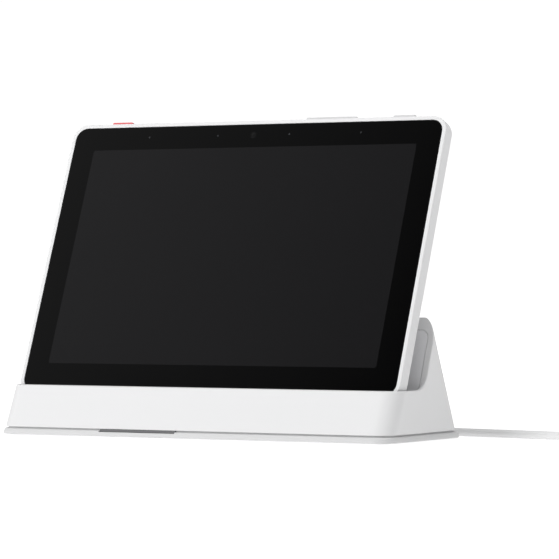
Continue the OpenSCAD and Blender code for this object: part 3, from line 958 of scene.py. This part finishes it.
@dataclass
class Cable:
    """The power cable with its strain relief, stored coil and plug.

    The length, the exit and the routes are in metres, angles in degrees and the rest in millimetres.
    """

    length: float = 1.5
    diameter: float = 3.7
    exit: Point = (0.0, 0.049, 0.008)
    coil_centre: tuple[float, float] = (174.0, 60.0)
    coil_radius: float = 22.0
    slack: float = 0.02
    ramp: float = 30.0
    spread: tuple[float, float] = (85.0, 40.0)
    drop: float = 48.0
    tongue_edge: float = 0.25
    route: tuple[Point, ...] = (
        (0, 0.049, 0.008), (0.0005, 0.054, 0.0072), (0.003, 0.06, 0.0054), (0.008, 0.0648, 0.0036),
        (0.015, 0.0672, 0.0022), (0.024, 0.0672, 0.00185), (0.036, 0.0646, 0.00185), (0.05, 0.0606, 0.00185),
        (0.07, 0.0559, 0.00185), (0.093, 0.051, 0.00185), (0.12, 0.0455, 0.00185), (0.146, 0.0401, 0.00185),
        (0.158, 0.0374, 0.00185), (0.169, 0.035, 0.00185),
    )
    tail: tuple[Point, ...] = (
        (0.176, 0.0307, 0.0064), (0.183, 0.031, 0.0052), (0.19, 0.0314, 0.0042), (0.197, 0.0315, 0.0039),
    )

    def build(self) -> None:
        path = self.path()
        piece = CABLE_JACKET.dress(make_piece("power_cord", [tube(path, self.diameter / 2)]))
        place_on(piece, "dock", "power_cable", "cable_coil", "cable_tail")
        relief = place_on(CABLE_JACKET.dress(self.relief()), "dock", "strain_relief")
        plug = place_on(CABLE_JACKET.dress(self.plug()), "dock", "plug_body")
        tongue = STEEL.dress(FRAME["nodes"]["plug_tongue"])
        round_edges(tongue, self.tongue_edge)

    @staticmethod
    def smooth(route: tuple[Point, ...], steps: int = 6) -> np.ndarray:
        """A smooth line through a route's points, in millimetres.

        Between points b and c, with neighbours a and d, it is the cubic
        0.5*(2b + (c - a)t + (2a - 5b + 4c - d)t^2 + (3b - a - 3c + d)t^3).

        Args:
            route: the points, in metres.
            steps: points on each stretch.

        Returns:
            The line's points.
        """
        p = np.array(route) / MM
        a, b, c, d = np.vstack([p[:1], p[:-2]]), p[:-1], p[1:], np.vstack([p[2:], p[-1:]])
        t = (np.arange(steps) / steps)[None, :, None]
        a, b, c, d = (q[:, None] for q in (a, b, c, d))
        square, cube = 2 * a - 5 * b + 4 * c - d, 3 * b - a - 3 * c + d
        line = 0.5 * (2 * b + (c - a) * t + square * t**2 + cube * t**3)
        return np.vstack([line.reshape(-1, 3), p[-1:]])

    def coil(self) -> np.ndarray:
        """The stored turns, three wide and three high, in millimetres.

        Each turn stays in one place of the bundle, and over its last ramp of angle it shifts by a smooth
        step, 3t^2 - 2t^3, to a place beside or over it. The last turn goes outward over the spread's
        second angle, which starts at the spread's first angle before its end, and down over the drop.

        Returns:
            The coil's points.
        """
        d, middle = self.diameter, self.coil_radius
        pitch = d + self.slack
        places = np.array([[1, 0], [1, 1], [0, 1], [0, 0], [-1, 0], [-1, 1], [-1, 2], [0, 2], [1, 2]])
        start, end = (np.array(p[:2]) / MM - self.coil_centre for p in (self.route[-1], self.tail[0]))
        first, last = math.atan2(start[1], start[0]), math.atan2(end[1], end[0]) + 2 * math.pi * len(places)
        turn = np.arange(first, last, math.radians(5.0))
        ramp = math.radians(self.ramp)
        begins = first + 2 * math.pi * np.arange(1, len(places)) - ramp
        t = np.clip((turn[:, None] - begins) / ramp, 0, 1)
        step = 3 * t**2 - 2 * t**3
        at = places[0] + step @ np.diff(places, axis=0)
        radius, height = middle + pitch * at[:, 0], d / 2 + pitch * at[:, 1]
        (before, span), drop = np.radians(self.spread), math.radians(self.drop)
        out = np.clip((turn - (last - before)) / span, 0, 1)
        down = np.clip((turn - (last - drop)) / drop, 0, 1)
        radius += (np.hypot(*end) - middle - pitch) * (3 * out**2 - 2 * out**3)
        height += (self.tail[0][2] / MM - d / 2 - 2 * pitch) * (3 * down**2 - 2 * down**3)
        x, y = self.coil_centre[0] + radius * np.cos(turn), self.coil_centre[1] + radius * np.sin(turn)
        return np.stack([x, y, height], axis=1)

    def path(self) -> np.ndarray:
        """The whole cable's middle line, in millimetres, from its strain relief to its plug."""
        return np.vstack([self.smooth(self.route)[:-1], self.coil(), self.smooth(self.tail)])

    def relief(self) -> Piece:
        """The tapered strain relief: a cone with five ring grooves and a rolled end.

        Returns:
            The piece.
        """
        low, high = box_mm("strain_relief")
        middle = np.array([(low[0] + high[0]) / 2, low[1], (low[2] + high[2]) / 2])
        long, neck, rings = high[1] - low[1], 9.0, 5
        wide, narrowing, groove = 3.3, 1.0, 0.32
        s = np.linspace(0, 1, 61)
        wave = np.clip(np.cos(2 * math.pi * (rings * s - 0.5)), 0, 1) ** 0.5 * (s < 0.95)
        taper = np.stack([wide - s * narrowing - groove * wave, neck + s * (long - neck - 0.3)], axis=1)
        collar = np.array([[0, 0], [4.7, 0], [5, 0.3], [5, 1.5], [4.7, 1.8], [3.5, 1.8], [3.5, neck - 0.3]])
        end = np.array([[2.1, long], [1.6, long], [0, long]])
        profile = np.vstack([collar, taper, end])
        return shade(make_piece("cord_relief", [lathe(profile, middle, np.array([0, 1.0, 0]))], capped=False))

    def plug(self) -> Piece:
        """The plug's grip: round-cornered sections along X, drawn in at the cable and ribbed at the waist.

        Returns:
            The piece.
        """
        low, high = box_mm("plug_body")
        size, middle = high - low, (low + high) / 2
        s = np.linspace(0, size[0], 89)
        rear = 2.2 * np.clip(1 - s / 5, 0, 1) ** 2
        ribs = 0.3 * np.sin(math.pi * (s - 6) / 2.2) ** 2 * ((s > 6) & (s < 14.8))
        front = 0.5 * (1 - np.sqrt(1 - np.clip((s - size[0] + 0.5) / 0.5, 0, 1) ** 2))
        rows = Rounded(size[1], size[2], 2.2).rows(rear + ribs + front)
        x = np.broadcast_to(low[0] + s[:, None], rows.shape[:2])
        grid = np.dstack([x, rows[..., 0] + middle[1], rows[..., 1] + middle[2]])
        return shade(make_piece("plug_grip", [grid]))


# ---------- studio ----------


@dataclass
class Studio:
    """The camera, the pale floor, the soft lights and the card that the glass mirrors."""

    eye: Point = (0.767168, -1.315129, 0.072527)
    azimuth: float = 29.3751
    dip: float = 0.0328
    focal: float = 214.13
    ambient: float = 0.25
    backdrop: float = 1.05
    gloss: float = 0.35
    lights: tuple[tuple[str, Point, float, float], ...] = (
        ("top_light", (0.0, 0.1, 2.6), 2.4, 49.0),
        ("front_light", (-0.9, -1.9, 0.9), 1.0, 28.0),
        ("right_light", (1.9, 0.9, 0.7), 1.0, 7.0),
    )
    card_distance: float = 2.0
    card_glow: tuple[float, float] = (0.01, 0.27)

    def build(self, up: np.ndarray) -> None:
        """Makes the camera first, and then the rest of the studio.

        Args:
            up: direction up the tablet's slope.
        """
        self.camera()
        self.world()
        self.floor()
        for name, place, size, power in self.lights:
            self.light(name, place, size, power)
        self.card(up)

    def camera(self) -> None:
        """The camera, level but for a hair of dip."""
        data = bpy.data.cameras.new("camera")
        data.lens = self.focal
        data.sensor_width = 36.0
        data.clip_start, data.clip_end = 0.05, 50.0
        camera = add_object("camera", data)
        camera.location = self.eye
        camera.rotation_euler = (math.radians(90 - self.dip), 0, math.radians(self.azimuth))
        bpy.context.scene.camera = camera

    def world(self) -> None:
        """A white background that lights softly and that gloss sees dimly."""
        world = bpy.data.worlds.new("studio")
        world.use_nodes = True
        tree = world.node_tree
        ground = tree.nodes["Background"]
        set_inputs(ground, {"Color": (1, 1, 1, 1)})
        ray = tree.nodes.new("ShaderNodeLightPath")
        seen = tree.nodes.new("ShaderNodeMix")
        set_inputs(seen, {"A": self.ambient, "B": self.backdrop})
        gloss = tree.nodes.new("ShaderNodeMix")
        set_inputs(gloss, {"B": self.gloss})
        tree.links.new(ray.outputs["Is Camera Ray"], seen.inputs["Factor"])
        tree.links.new(ray.outputs["Is Glossy Ray"], gloss.inputs["Factor"])
        tree.links.new(seen.outputs["Result"], gloss.inputs["A"])
        tree.links.new(gloss.outputs["Result"], ground.inputs["Strength"])
        bpy.context.scene.world = world
        bpy.context.scene.view_settings.view_transform = "Standard"

    @staticmethod
    def floor() -> None:
        """A plain pale floor, whose glow rises away from the hub so that no shadow or horizon shows."""
        mesh = bpy.data.meshes.new("floor")
        far = 8.0
        corners = [(-far, -far, 0), (far, -far, 0), (far, far, 0), (-far, far, 0)]
        mesh.from_pydata(corners, [], [(0, 1, 2, 3)])
        floor = add_object("floor", mesh)
        pale = bpy.data.materials.new("pale_floor")
        pale.use_nodes = True
        tree = pale.node_tree
        shader = tree.nodes["Principled BSDF"]
        set_inputs(shader, {"Base Color": (0.5, 0.5, 0.5, 1), "Roughness": 0.9})
        set_inputs(shader, {"Specular IOR Level": 0.1, "Emission Strength": 1.0})
        place = tree.nodes.new("ShaderNodeTexCoord")
        reach = tree.nodes.new("ShaderNodeVectorMath")
        reach.operation = "LENGTH"
        glow = tree.nodes.new("ShaderNodeMapRange")
        set_inputs(glow, {"From Min": 0.4, "From Max": 1.6, "To Min": 0.68, "To Max": 1.0})
        tree.links.new(place.outputs["Object"], reach.inputs[0])
        tree.links.new(reach.outputs["Value"], glow.inputs["Value"])
        tree.links.new(glow.outputs["Result"], shader.inputs["Emission Color"])
        mesh.materials.append(pale)
        floor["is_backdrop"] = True

    @staticmethod
    def light(name: str, place: Point, size: float, power: float) -> None:
        """A square soft light that faces the hub and isn't mirrored in it.

        Args:
            name: the light's name.
            place: where it hangs, in metres.
            size: its side.
            power: its power in watts.
        """
        data = bpy.data.lights.new(name, "AREA")
        data.size, data.energy = size, power
        lamp = add_object(name, data)
        lamp.location = place
        lamp.rotation_euler = (Vector((0, 0, 0.06)) - Vector(place)).to_track_quat("-Z", "Y").to_euler()
        lamp.visible_glossy = False

    def card(self, up: np.ndarray) -> None:
        """A glowing card that the camera sees mirrored in the glass, brighter towards the left.

        The view's direction v leaves the glass, whose normal is n, along v - 2(v.n)n.

        Args:
            up: direction up the tablet's slope.
        """
        glass = np.mean([np.array(p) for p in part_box("cover_glass")], axis=0)
        normal = np.cross(up, [1.0, 0, 0]) * -1
        view = glass - np.array(self.eye)
        view /= np.linalg.norm(view)
        away = view - 2 * (view @ normal) * normal
        across = np.cross(away, [0, 0, 1.0])
        across /= np.linalg.norm(across)
        rise = np.cross(across, away)
        u, v = np.meshgrid(np.linspace(-0.5, 0.5, 25), np.linspace(-0.4, 0.4, 2))
        points = glass + away * self.card_distance + u[..., None] * across + v[..., None] * rise
        columns = u.shape[1]
        a = np.arange(columns - 1)
        faces = np.stack([a, a + 1, a + columns + 1, a + columns], axis=1)
        mesh = bpy.data.meshes.new("card")
        mesh.from_pydata(points.reshape(-1, 3).tolist(), [], faces.tolist())
        glow = mesh.attributes.new("glow", "FLOAT", "POINT")
        glow.data.foreach_set("value", np.interp(u, [-0.3, 0.3], self.card_glow).ravel())
        card = add_object("card", mesh)
        paint = bpy.data.materials.new("card_glow")
        paint.use_nodes = True
        tree = paint.node_tree
        tree.nodes.remove(tree.nodes["Principled BSDF"])
        lamp = tree.nodes.new("ShaderNodeEmission")
        read = tree.nodes.new("ShaderNodeAttribute")
        read.attribute_name = "glow"
        tree.links.new(read.outputs["Fac"], lamp.inputs["Strength"])
        tree.links.new(lamp.outputs[0], tree.nodes["Material Output"].inputs["Surface"])
        mesh.materials.append(paint)
        card.visible_camera = card.visible_diffuse = card.visible_shadow = False
        card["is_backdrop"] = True


# ---------- the whole ----------


def shade(piece: Piece) -> Piece:
    """Keeps flat faces flat and sharp edges sharp on a piece that is otherwise shaded smooth.

    Args:
        piece: the piece.

    Returns:
        The same piece.
    """
    piece.data.set_sharp_from_angle(angle=SHARP_ANGLE)
    weighted = piece.modifiers.new("shade", "WEIGHTED_NORMAL")
    weighted.keep_sharp = True
    return piece


def place_on(piece: Piece, body: str, *nodes: str) -> Piece:
    """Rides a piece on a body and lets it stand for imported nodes.

    Args:
        piece: the piece.
        body: the body's name.
        nodes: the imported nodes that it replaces.

    Returns:
        The same piece.
    """
    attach(piece, body)
    if nodes:
        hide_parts(*nodes)
    log.info("%s rides on %s for %s", piece.name, body, ", ".join(nodes) or "nothing packed")
    return piece


def dress_nodes(finishes: dict[Finish, list[str]]) -> None:
    """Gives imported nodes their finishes.

    Args:
        finishes: the nodes' names under each finish.
    """
    for finish, names in finishes.items():
        for name in names:
            finish.dress(FRAME["nodes"][name])
            log.info("%s is dressed in %s", name, finish.name)


def corner_lists(box: tuple[Vector, Vector]) -> list[list[float]]:
    """A box's two corners as plain lists of numbers."""
    return [list(corner) for corner in box]


def main(cad_box: list[list[float]]) -> None:
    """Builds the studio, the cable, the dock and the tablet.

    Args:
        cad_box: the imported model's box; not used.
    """
    lift = next(joint for joint in FRAME["joints"] if joint["name"] == "tablet_lift")
    up = np.array(lift["axis"], float)
    Studio().build(up)
    Cable().build()
    Dock().build()
    Tablet(up).build()


if __name__ == "__main__":
    logging.basicConfig(level=logging.INFO, format="%(message)s")
    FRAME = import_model()
    main(corner_lists(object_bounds()))
